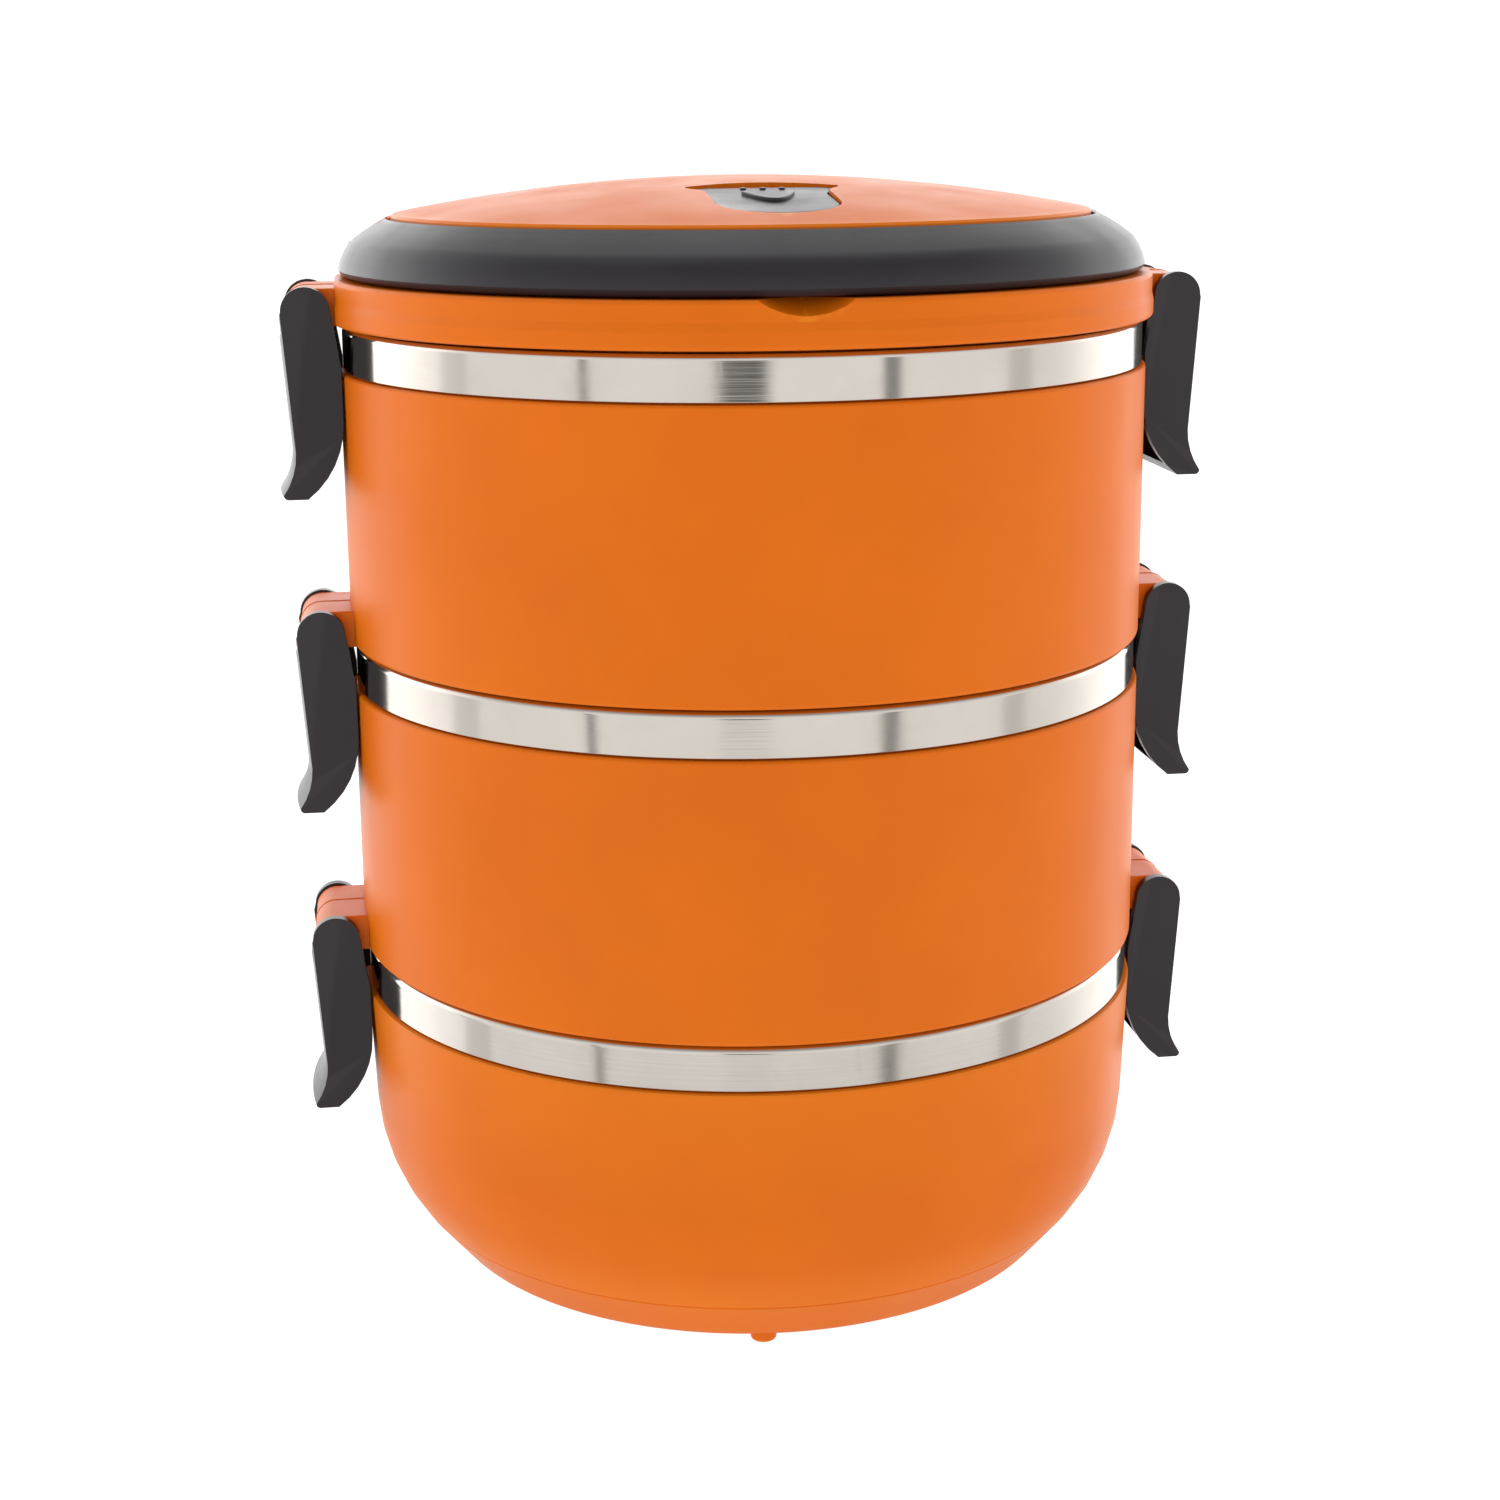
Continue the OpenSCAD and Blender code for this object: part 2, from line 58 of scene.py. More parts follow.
def level(node, top=False):
    """Height of a node's lowest or highest point, in millimetres."""
    low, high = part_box(node)
    return (high.z if top else low.z) / MM


def joint(name):
    return next(j for j in frame["joints"] if j["name"] == name)


GAP = 0.3
BODY_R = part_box("middle_gasket")[1].x / MM + 7.3
SEAMS = {tier: level(tier + "_liner", top=True) + GAP for tier in ("base", "middle", "upper")}
BOTTOM = {"middle": SEAMS["base"], "upper": SEAMS["middle"], "lid": SEAMS["upper"]}
PITCH = SEAMS["middle"] - SEAMS["base"]
BAND_H = 8.3
SHELL_H = PITCH - BAND_H
WALL = 2.2
SHEET = 0.8
SKIRT_R = BODY_R - 0.7
NECK_R = SKIRT_R - SHEET
LINER_R = BODY_R - 7
CORE_R = BODY_R - 11.5
HINGE_R = joint("lid_right_unclip")["pos_m"][0] / MM
HINGE_UP = joint("lid_right_unclip")["pos_m"][2] / MM - BOTTOM["lid"]     # above the seam
LATCH_W = (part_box("lid_latch_left")[1].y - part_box("lid_latch_left")[0].y) / MM
PIVOT_Z = joint("handle_swing")["pos_m"][2] / MM
KEEPER_OUT = BODY_R + 3.2


# ---- camera, floor and light ----

def camera():
    """The photograph's view: in front, a little to the left, above the lid, tipped down."""
    turn = math.radians(-8.0)
    distance, side, height = 465.9, 0.75, 210.8
    data = bpy.data.cameras.new("camera")
    data.lens = 61.46
    data.sensor_width = 36
    data.clip_start, data.clip_end = 0.01, 20
    cam = bpy.data.objects.new("camera", data)
    bpy.context.scene.collection.objects.link(cam)
    spot = Matrix.Rotation(turn, 4, "Z") @ Vector((side, -distance, height))
    aim = (Matrix.Rotation(turn, 4, "Z") @ Matrix.Rotation(math.radians(90 - 14.16), 4, "X")
           @ Matrix.Rotation(math.radians(-0.5), 4, "Z"))
    cam.matrix_world = Matrix.Translation(spot * MM) @ aim
    bpy.context.scene.camera = cam


def floor():
    disc = bmesh.new()
    bmesh.ops.create_circle(disc, cap_ends=True, segments=96, radius=3.0)
    data = bpy.data.meshes.new("floor")
    disc.to_mesh(data)
    obj = bpy.data.objects.new("floor", data)
    bpy.context.scene.collection.objects.link(obj)
    obj.visible_glossy = False
    mat, tree = new_material("floor_white")
    shader = tree.nodes["Principled BSDF"]
    shader.inputs["Base Color"].default_value = (0.30, 0.30, 0.30, 1)
    shader.inputs["Roughness"].default_value = 1.0
    shader.inputs["Specular IOR Level"].default_value = 0.0
    shader.inputs["Emission Color"].default_value = (1, 1, 1, 1)
    shader.inputs["Emission Strength"].default_value = 1.0
    data.materials.append(mat)


def area_light(name, spot, size, power, glossy=False, aim=(0, 0, 100)):
    data = bpy.data.lights.new(name, "AREA")
    data.shape = "RECTANGLE"
    data.size, data.size_y = size[0] * MM, size[1] * MM
    data.energy = power
    obj = bpy.data.objects.new(name, data)
    bpy.context.scene.collection.objects.link(obj)
    obj.location = Vector(spot) * MM
    obj.rotation_euler = (Vector(aim) * MM - obj.location).to_track_quat("-Z", "Y").to_euler()
    obj.visible_camera = False
    obj.visible_glossy = glossy
    return obj


def studio_world():
    """A white tent, dark in front, with narrow dark seams that the polished steel mirrors."""
    world = bpy.data.worlds.new("studio")
    bpy.context.scene.world = world
    world.use_nodes = True
    tree = world.node_tree
    tree.nodes.clear()
    add = Nodes(tree)
    out = add("OutputWorld")
    background = add("Background")
    coords = add("TexCoord")
    split = add("SeparateXYZ")
    tree.links.new(coords.outputs["Generated"], split.inputs[0])
    # bearing of a direction, in turns of the front: 0 is -Y, positive towards +X
    bearing = add.math("ARCTAN2", split.outputs["X"], add.math("MULTIPLY", split.outputs["Y"], -1))
    shade = None
    for centre, width, dark in ((-52.0, 2.4, 0.74), (33.5, 4.6, 0.76), (75.0, 8.0, 0.3),
                                (-95.0, 10.0, 0.25)):
        away = add.math("ABSOLUTE", add.math("SUBTRACT", bearing, math.radians(centre)))
        bar = step(add, away, math.radians(width * 0.42), math.radians(width * 0.62), 1 - dark, 1)
        shade = bar if shade is None else add.math("MULTIPLY", shade, bar)
    tall = split.outputs["Z"]
    # the camera's own side is darkest near the horizon
    front = step(add, add.math("ABSOLUTE", add.math("ADD", bearing, math.radians(8))),
                 math.radians(4.5), math.radians(9), 0.9, 0)
    shade = add.math("MULTIPLY", shade, add.math("SUBTRACT", 1, add.math(
        "MULTIPLY", front, step(add, tall, -0.25, -0.07, 0.05, 1.0))))
    # the seams end at the horizon, and the tent glows behind the part
    low = step(add, tall, 0.0, 0.12, 1.0, 0.0)
    shade = add.math("ADD", 1, add.math("MULTIPLY", low, add.math("SUBTRACT", shade, 1)))
    strength = add.math("MULTIPLY", shade, step(add, tall, -0.75, -0.25, 0.35, 1.0))
    strength = add.math("MULTIPLY", strength, step(add, tall, 0.15, 0.8, 1.0, 0.36))
    glow = add.math("MULTIPLY", step(add, split.outputs["Y"], -0.1, 0.7, 0, 1.5),
                    step(add, tall, -0.2, 0.1, 0.45, 1.0))
    strength = add.math("MULTIPLY", strength, add.math("ADD", glow, 1))
    seen = add("LightPath")
    mix = add("Mix", data_type="FLOAT")
    tree.links.new(seen.outputs["Is Camera Ray"], mix.inputs[0])
    tree.links.new(strength, mix.inputs[2])
    mix.inputs[3].default_value = 1.15
    tree.links.new(mix.outputs[0], background.inputs["Strength"])
    background.inputs["Color"].default_value = (1, 1, 1, 1)
    tree.links.new(background.outputs[0], out.inputs[0])


def lights():
    area_light("soft_top", (0, 80, 800), (700, 500), 0.9, glossy=True)
    area_light("soft_left", (-620, -250, 330), (420, 620), 0.7)
    area_light("soft_right", (640, -200, 330), (420, 620), 0.8)
    scene = bpy.context.scene
    scene.view_settings.view_transform = "Standard"
    scene.view_settings.look = "None"


# ---- node helpers ----

class Nodes:
    """Adds nodes to a tree with short calls."""

    def __init__(self, tree):
        self.tree = tree

    def __call__(self, kind, **props):
        node = self.tree.nodes.new("ShaderNode" + kind)
        for key, value in props.items():
            setattr(node, key, value)
        return node

    def math(self, operation, a, b=None):
        node = self("Math", operation=operation)
        for slot, value in zip(node.inputs, (a, b)):
            self.put(value, slot)
        return node.outputs[0]

    def put(self, value, slot):
        if value is None:
            return
        if isinstance(value, bpy.types.NodeSocket):
            self.tree.links.new(value, slot)
        else:
            slot.default_value = value


def new_material(name):
    mat = bpy.data.materials.new(name)
    mat.use_nodes = True
    return mat, mat.node_tree


def noise(add, spot, scale, detail=3.0, rough=0.55, stretch=None):
    if stretch:
        mapping = add("Mapping")
        mapping.inputs["Scale"].default_value = stretch
        add.put(spot, mapping.inputs["Vector"])
        spot = mapping.outputs[0]
    tex = add("TexNoise")
    add.put(spot, tex.inputs["Vector"])
    tex.inputs["Scale"].default_value = scale
    tex.inputs["Detail"].default_value = detail
    tex.inputs["Roughness"].default_value = rough
    return tex.outputs["Fac"]


def remap(add, value, low, high, to_low, to_high):
    node = add("MapRange")
    add.put(value, node.inputs["Value"])
    for key, number in (("From Min", low), ("From Max", high), ("To Min", to_low), ("To Max", to_high)):
        node.inputs[key].default_value = number
    return node.outputs[0]


def step(add, value, low, high, to_low, to_high):
    """A smooth change from one level to another."""
    result = remap(add, value, low, high, to_low, to_high)
    result.node.interpolation_type = "SMOOTHSTEP"
    return result


def blend_colour(add, fac, a, b):
    node = add("Mix", data_type="RGBA")
    add.put(fac, node.inputs[0])
    add.put(a, node.inputs[6])
    add.put(b, node.inputs[7])
    return node.outputs[2]


def bump(add, height, strength, distance, below=None):
    node = add("Bump")
    node.inputs["Strength"].default_value = strength
    node.inputs["Distance"].default_value = distance
    add.put(height, node.inputs["Height"])
    if below is not None:
        add.put(below, node.inputs["Normal"])
    return node.outputs[0]


# ---- materials ----

def moulded_plastic(name, colour, deep, worn, rough, specular, grain):
    """Satin injection-moulded plastic: cloudy colour, a fine spark texture, slow sink waves and
    edges that are polished by handling."""
    mat, tree = new_material(name)
    add = Nodes(tree)
    shader = tree.nodes["Principled BSDF"]
    spot = add("TexCoord").outputs["Object"]
    cloud = remap(add, noise(add, spot, 38, 4), 0.35, 0.68, 0, 1)
    speck = remap(add, noise(add, spot, 900, 2), 0.70, 0.80, 0, 0.5)
    flow = noise(add, spot, 60, 3, stretch=(1, 1, 0.25))
    tint = blend_colour(add, cloud, colour, deep)
    tint = blend_colour(add, add.math("MULTIPLY", speck, 0.5), tint, deep)
    point = add("NewGeometry").outputs["Pointiness"]
    edge = remap(add, point, 0.515, 0.56, 0, 0.55)
    add.put(blend_colour(add, edge, tint, worn), shader.inputs["Base Color"])
    smear = add.math("ADD", remap(add, flow, 0.3, 0.7, rough - 0.05, rough + 0.06),
                     add.math("MULTIPLY", edge, -0.08))
    add.put(smear, shader.inputs["Roughness"])
    shader.inputs["Specular IOR Level"].default_value = specular
    shader.inputs["IOR"].default_value = 1.49
    fine = bump(add, noise(add, spot, 2600, 2), 0.10 * grain, 0.00006)
    slow = bump(add, noise(add, spot, 26, 2), 0.12, 0.0006, fine)
    add.put(slow, shader.inputs["Normal"])
    return mat


def polished_steel(name, colour, rough):
    """Deep-drawn stainless: mirror polish with faint turning lines, smears and small scratches."""
    mat, tree = new_material(name)
    add = Nodes(tree)
    shader = tree.nodes["Principled BSDF"]
    spot = add("TexCoord").outputs["Object"]
    smear = noise(add, spot, 45, 5, 0.65)
    lines = noise(add, spot, 60, 3, stretch=(0.4, 0.4, 40))
    scratch = remap(add, noise(add, spot, 520, 2, stretch=(1, 0.12, 0.3)), 0.66, 0.74, 0, 1)
    warm = blend_colour(add, remap(add, smear, 0.35, 0.7, 0, 1), colour,
                        (colour[0] * 0.93, colour[1] * 0.925, colour[2] * 0.9, 1))
    add.put(warm, shader.inputs["Base Color"])
    shader.inputs["Metallic"].default_value = 1.0
    base = remap(add, smear, 0.3, 0.75, rough, rough + 0.09)
    add.put(add.math("ADD", base, add.math("MULTIPLY", scratch, 0.06)), shader.inputs["Roughness"])
    drawn = bump(add, lines, 0.06, 0.00025)
    wave = bump(add, noise(add, spot, 24, 2), 0.10, 0.0012, drawn)
    add.put(wave, shader.inputs["Normal"])
    return mat


def silicone_rubber(name):
    mat, tree = new_material(name)
    add = Nodes(tree)
    shader = tree.nodes["Principled BSDF"]
    spot = add("TexCoord").outputs["Object"]
    cloud = remap(add, noise(add, spot, 90, 3), 0.35, 0.65, 0, 1)
    add.put(blend_colour(add, cloud, (0.82, 0.81, 0.77, 1), (0.72, 0.71, 0.66, 1)),
            shader.inputs["Base Color"])
    add.put(remap(add, cloud, 0, 1, 0.38, 0.5), shader.inputs["Roughness"])
    shader.inputs["Subsurface Weight"].default_value = 0.25
    shader.inputs["Subsurface Radius"].default_value = (0.002, 0.002, 0.0015)
    add.put(bump(add, noise(add, spot, 700, 2), 0.1, 0.0001), shader.inputs["Normal"])
    return mat


MATERIALS = {}


def make_materials():
    MATERIALS["orange_plastic"] = moulded_plastic(
        "orange_plastic", (0.72, 0.150, 0.002, 1), (0.68, 0.136, 0.002, 1),
        (0.80, 0.23, 0.01, 1), 0.40, 0.15, 1.0)
    MATERIALS["charcoal_plastic"] = moulded_plastic(
        "charcoal_plastic", (0.022, 0.019, 0.023, 1), (0.017, 0.015, 0.018, 1),
        (0.034, 0.031, 0.035, 1), 0.37, 0.41, 1.6)
    MATERIALS["liner_steel"] = polished_steel("liner_steel", (0.70, 0.65, 0.595, 1), 0.08)
    MATERIALS["pin_steel"] = polished_steel("pin_steel", (0.55, 0.55, 0.55, 1), 0.2)
    MATERIALS["silicone"] = silicone_rubber("silicone")


def dress_cad_nodes():
    """Gives every carried-over CAD node the material of its slot."""
    slots = {p["node"]: p["material_slot"] for p in frame["record"]["subparts"]}
    for name, obj in frame["nodes"].items():
        obj.data.materials.clear()
        obj.data.materials.append(MATERIALS[slots[name]])


# ---- mesh helpers ----

def arc(centre, radius, first, last):
    """Points along an arc, from one angle in degrees to another."""
    steps = max(2, math.ceil(abs(last - first) / ARC_STEP))
    angles = [math.radians(first + (last - first) * k / steps) for k in range(steps + 1)]
    return [Vector((centre[0] + radius * math.cos(a), centre[1] + radius * math.sin(a)))
            for a in angles]


def rounded(corners):
    """A closed outline through (x, y, radius) corners, each rounded by an arc of that radius."""
    points = []
    for i, (x, y, radius) in enumerate(corners):
        here = Vector((x, y))
        if radius <= 0:
            points.append(here)
            continue
        back = (Vector(corners[i - 1][:2]) - here).normalized()
        ahead = (Vector(corners[(i + 1) % len(corners)][:2]) - here).normalized()
        half = back.angle(ahead) / 2
        centre = here + (back + ahead).normalized() * (radius / math.sin(half))
        first = here + back * (radius / math.tan(half)) - centre
        last = here + ahead * (radius / math.tan(half)) - centre
        start = math.degrees(math.atan2(first.y, first.x))
        turn = (math.degrees(math.atan2(last.y, last.x)) - start + 180) % 360 - 180
        points += arc(centre, radius, start, start + turn)
    return points


def mesh(name, verts, faces):
    """A new object; verts come in millimetres."""
    data = bpy.data.meshes.new(name)
    data.from_pydata([Vector(v) * MM for v in verts], [], faces)
    work = bmesh.new()
    work.from_mesh(data)
    bmesh.ops.remove_doubles(work, verts=work.verts, dist=1e-7)
    bmesh.ops.dissolve_degenerate(work, edges=work.edges, dist=1e-7)
    loose = [edge for edge in work.edges if not edge.link_faces]
    bmesh.ops.delete(work, geom=loose, context="EDGES")
    bmesh.ops.recalc_face_normals(work, faces=work.faces)
    work.to_mesh(data)
    work.free()
    obj = bpy.data.objects.new(name, data)
    bpy.context.scene.collection.objects.link(obj)
    return obj


def lathe(name, outline, first=0.0, sweep=360.0, segments=SEGMENTS):
    """Turns a closed (radius, height) outline about Z."""
    closed = sweep >= 360
    steps = segments if closed else max(3, round(segments * sweep / 360))
    rings = steps if closed else steps + 1
    count = len(outline)
    verts = []
    for k in range(rings):
        a = math.radians(first + sweep * k / steps)
        verts += [(p[0] * math.cos(a), p[0] * math.sin(a), p[1]) for p in outline]
    faces = []
    for k in range(steps):
        here, there = k * count, ((k + 1) % rings) * count
        faces += [(here + i, here + (i + 1) % count, there + (i + 1) % count, there + i)
                  for i in range(count)]
    if not closed:
        faces += [tuple(range(count)), tuple((rings - 1) * count + i for i in reversed(range(count)))]
    return mesh(name, verts, faces)


def prism_faces(count):
    """Faces of a prism: its two ends, which have count points each, and its sides."""
    ends = [tuple(range(count)), tuple(count + i for i in reversed(range(count)))]
    return ends + [(i, (i + 1) % count, count + (i + 1) % count, count + i) for i in range(count)]


def extrude_y(name, outline, low, high):
    """Extrudes a closed (x, z) outline along Y."""
    verts = [(p[0], y, p[1]) for y in (low, high) for p in outline]
    return mesh(name, verts, prism_faces(len(outline)))


def extrude_z(name, outline, low, high):
    """Extrudes a closed (x, y) outline along Z."""
    verts = [(p[0], p[1], z) for z in (low, high) for p in outline]
    return mesh(name, verts, prism_faces(len(outline)))


def rod(name, radius, start, end, segments=48):
    """A straight round rod between two points."""
    axis = Vector(end) - Vector(start)
    turn = axis.to_track_quat("Z", "Y")
    ring = [(radius * math.cos(2 * math.pi * k / segments),
             radius * math.sin(2 * math.pi * k / segments)) for k in range(segments)]
    verts = [Vector(start) + turn @ Vector((x, y, z)) for z in (0, axis.length) for x, y in ring]
    return mesh(name, verts, prism_faces(segments))


def ball(name, radius, centre):
    outline = arc((0, 0), radius, -90, 90)
    obj = lathe(name, outline, segments=96)
    return place(obj, Matrix.Translation(Vector(centre) * MM))


def block(name, low, high):
    x0, y0, z0 = low
    x1, y1, z1 = high
    return extrude_z(name, [(x0, y0), (x1, y0), (x1, y1), (x0, y1)], z0, z1)


def place(obj, matrix):
    obj.data.transform(matrix)
    return obj


def settle(obj):
    """Applies an object's modifiers to its mesh."""
    graph = bpy.context.evaluated_depsgraph_get()
    solid = bpy.data.meshes.new_from_object(obj.evaluated_get(graph))
    obj.modifiers.clear()
    obj.data = solid
    return obj


def combine(obj, operation, *others):
    """Boolean of obj with other objects, which are used up."""
    for other in others:
        cut = obj.modifiers.new("cut", "BOOLEAN")
        cut.object = other
        cut.operation = operation
        cut.solver = "EXACT"
        settle(obj)
        bpy.data.objects.remove(other)
    return obj


def soften(obj, width, angle=35.0, steps=3):
    """Rounds an object's sharp edges."""
    edge = obj.modifiers.new("edges", "BEVEL")
    edge.width = width * MM
    edge.segments = steps
    edge.limit_method = "ANGLE"
    edge.angle_limit = math.radians(angle)
    edge.miter_outer = "MITER_ARC"
    return settle(obj)


def mirrored(obj, name):
    """A copy of an object reflected to the other side of X = 0."""
    data = obj.data.copy()
    data.transform(Matrix.Scale(-1, 4, (1, 0, 0)))
    data.flip_normals()
    twin = bpy.data.objects.new(name, data)
    bpy.context.scene.collection.objects.link(twin)
    return twin


def deliver(obj, body, slot, *nodes, smooth=32.0):
    """Finishes a piece: smooth shading, its material, the body it rides and the nodes it replaces."""
    for face in obj.data.polygons:
        face.use_smooth = True
    obj.data.set_sharp_from_angle(angle=math.radians(smooth))
    even = obj.modifiers.new("even", "WEIGHTED_NORMAL")
    even.keep_sharp = True
    settle(obj)
    obj.data.materials.clear()
    obj.data.materials.append(MATERIALS[slot])
    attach(obj, body)
    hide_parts(*nodes)
    return obj


# ---- latches ----

LATCH_TOP_R = 4.2
CHEEK = 1.8
BELLY = (-5.7, -19.0)
BELLY_R = 16.6
PLATE_TOP = -4.8         # where the outer plate starts, down from the pivot
PLATE_T = 2.0
FACE_TOP = 5.2
FLARE = (3.6, -24.1)
FLARE_R = 12.6
LIP = 6.0
LIP_R = 0.8
TIP = -32.3
TIP_WALL = 2.0
HOOK = (KEEPER_OUT + GAP - HINGE_R, -16.6, -18.6)
HOOK_W = 14.0
STUB_R = 1.5
BORE_R = STUB_R + 0.07   # the bores that the stubs and the handle's pins turn in


def cheek_outline():
    """Side outline of a latch's cheeks about its pivot: x outwards, y up."""
    drop = math.degrees(math.asin((BELLY[1] - TIP) / BELLY_R))
    belly = arc((BELLY[0] + BELLY_R, BELLY[1]), BELLY_R, 180, 180 + drop)
    crown = arc((0, 0), LATCH_TOP_R, 0, 180)
    return (belly + [Vector((2 * LIP, TIP)), Vector((2 * LIP, PLATE_TOP)), Vector((LIP, PLATE_TOP))]
            + crown + [Vector((BELLY[0], BELLY[1] / 2))])


def face_outline():
    """Section of the latch's outer face, which is round like the tiers."""
    reach = math.degrees(math.acos((FLARE_R + FLARE[0] - LIP) / FLARE_R))
    flare = arc((FLARE[0] + FLARE_R, FLARE[1]), FLARE_R, 180, 180 + reach)
    lip = arc((LIP - LIP_R, TIP + LIP_R), LIP_R, 0, -90)
    points = ([Vector((-20, 9)), Vector((FACE_TOP, 9)), Vector((FACE_TOP, 0))] + flare + lip
              + [Vector((-20, TIP - 0.1))])
    return [Vector((HINGE_R + p.x, p.y)) for p in points]


def latch(name):
    """The right latch of a pair, about its pivot."""
    half, inside = LATCH_W / 2, LATCH_W / 2 - CHEEK
    body = extrude_y(name, cheek_outline(), -half, half)
    face = lathe("face", face_outline(), first=-13, sweep=26, segments=560)
    combine(body, "INTERSECT", place(face, Matrix.Translation((-HINGE_R * MM, 0, 0))))
    soften(body, 0.75, 38, 4)
    lean = (FACE_TOP - FLARE[0]) / FLARE[1]
    floor_v = TIP + TIP_WALL
    # the hollow behind the plate, and the opening above it
    channel = rounded([(-20, 20, 0), (-20, floor_v, 0),
                       (FACE_TOP - PLATE_T - lean * floor_v, floor_v, 1.6),
                       (FACE_TOP - PLATE_T - lean * PLATE_TOP, PLATE_TOP, 0),
                       (20, PLATE_TOP, 0), (20, 20, 0)])
    combine(body, "DIFFERENCE", extrude_y("channel", channel, -inside, inside))
    soften(body, 0.22, 55, 2)
    hook = extrude_y("hook", rounded([(HOOK[0], HOOK[1], 0.6), (HOOK[0], HOOK[2], 0.6),
                                      (FLARE[0] - PLATE_T + 1, HOOK[2] - 0.8, 0),
                                      (FLARE[0] - PLATE_T + 1, HOOK[1], 0)]),
                     -HOOK_W / 2, HOOK_W / 2)
    stubs = [rod("stub", STUB_R, (0, side * (inside + 0.5), 0), (0, side * (inside - 2.3), 0))
             for side in (-1, 1)]
    return combine(body, "UNION", hook, *stubs)


def make_latches():
    right = latch("latch_master")
    left = mirrored(right, "latch_master_left")
    for tier in ("middle", "upper", "lid"):
        for side, source, sign in (("right", right, 1), ("left", left, -1)):
            node = f"{tier}_latch_{side}"
            obj = bpy.data.objects.new(node + "_piece", source.data.copy())
            bpy.context.scene.collection.objects.link(obj)
            spot = Vector((sign * HINGE_R, 0, BOTTOM[tier] + HINGE_UP)) * MM
            place(obj, Matrix.Translation(spot))
            deliver(obj, f"{tier}_clip_{side}", "charcoal_plastic", node)
    bpy.data.objects.remove(right)
    bpy.data.objects.remove(left)


# ---- tiers ----

LUG_R = 3.8
LUG_W = LATCH_W - 2 * CHEEK - 2 * GAP
KEEPER_W = 14.0
KEEPER_TOP = -BAND_H - 0.5


def lugs(seam, wall_r):
    """The pair of latch lugs at a seam, with their moulding line."""
    x_low = math.sqrt(LUG_R ** 2 - HINGE_UP ** 2)
    low = -math.degrees(math.asin(HINGE_UP / LUG_R))
    made = []

    def outline(grow):
        end = arc((HINGE_R, HINGE_UP), LUG_R + grow, low, 90)
        return ([Vector((wall_r - 1.5, 0)), Vector((HINGE_R + x_low, 0))] + end[1:]
                + [Vector((wall_r - 1.5, HINGE_UP + LUG_R + grow))])

    for sign in (1, -1):
        lug = extrude_y("lug", outline(0), -LUG_W / 2, LUG_W / 2)
        soften(lug, 0.35, 40, 3)
        line = extrude_y("line", outline(0.12), 0.9, 1.25)
        combine(lug, "UNION", line)
        combine(lug, "DIFFERENCE",
                rod("bore", BORE_R, (HINGE_R, -20, HINGE_UP), (HINGE_R, 20, HINGE_UP)))
        if sign < 0:
            twin = mirrored(lug, "lug_left")
            bpy.data.objects.remove(lug)
            lug = twin
        made.append(place(lug, Matrix.Translation((0, 0, seam * MM))))
    return made


def keepers(seam):
    outline = rounded([(BODY_R - 1.2, KEEPER_TOP - 4.5, 0), (KEEPER_OUT, KEEPER_TOP - 4.5, 0.3),
                       (KEEPER_OUT, KEEPER_TOP - 1.2, 0.4), (KEEPER_OUT - 1, KEEPER_TOP, 0.4),
                       (BODY_R - 1.2, KEEPER_TOP, 0)])
    right = extrude_y("keeper", outline, -KEEPER_W / 2, KEEPER_W / 2)
    soften(right, 0.3, 50, 2)
    place(right, Matrix.Translation((0, 0, seam * MM)))
    return [right, mirrored(right, "keeper_left")]


def neck(z):
    """The recessed neck above a shell's edge at height z, down to its inner wall."""
    top = z + BAND_H - GAP - SHEET
    return [(NECK_R, z, 0.3), (NECK_R, top, 0.7), (NECK_R - WALL, top, 0.4),
            (NECK_R - WALL, z - 4, 1.0), (BODY_R - WALL, z - 6.5, 1.0)]


def tier_shell(tier):
    outline = rounded([(CORE_R, 0, 0.3), (BODY_R, 0, 0.8), (BODY_R, SHELL_H, 0.6), *neck(SHELL_H),
                       (BODY_R - WALL, WALL, 1.2), (CORE_R, WALL, 0.3)])
    seam = BOTTOM[tier]
    shell = place(lathe(tier + "_shell_piece", outline), Matrix.Translation((0, 0, seam * MM)))
    combine(shell, "UNION", *lugs(seam, BODY_R), *keepers(seam + PITCH))
    deliver(shell, tier + "_tier", "orange_plastic", tier + "_shell")


FOOT_H = 1.5
BOWL_ARC_R = 34.4
BOWL_ARC_Z = 30.0
DRAFT = 2.14
CREASE_Z = 9.5
CONE = 50.4
BLEND_R = 6.0
FOOT_R = 2.3
FOOT_CIRCLE_R = 53.6
FEET_FROM = -95.6        # bearing of the first foot
UNDER_R = 47.3           # the shallow round recess under the bowl
UNDER_DEPTH = 0.6


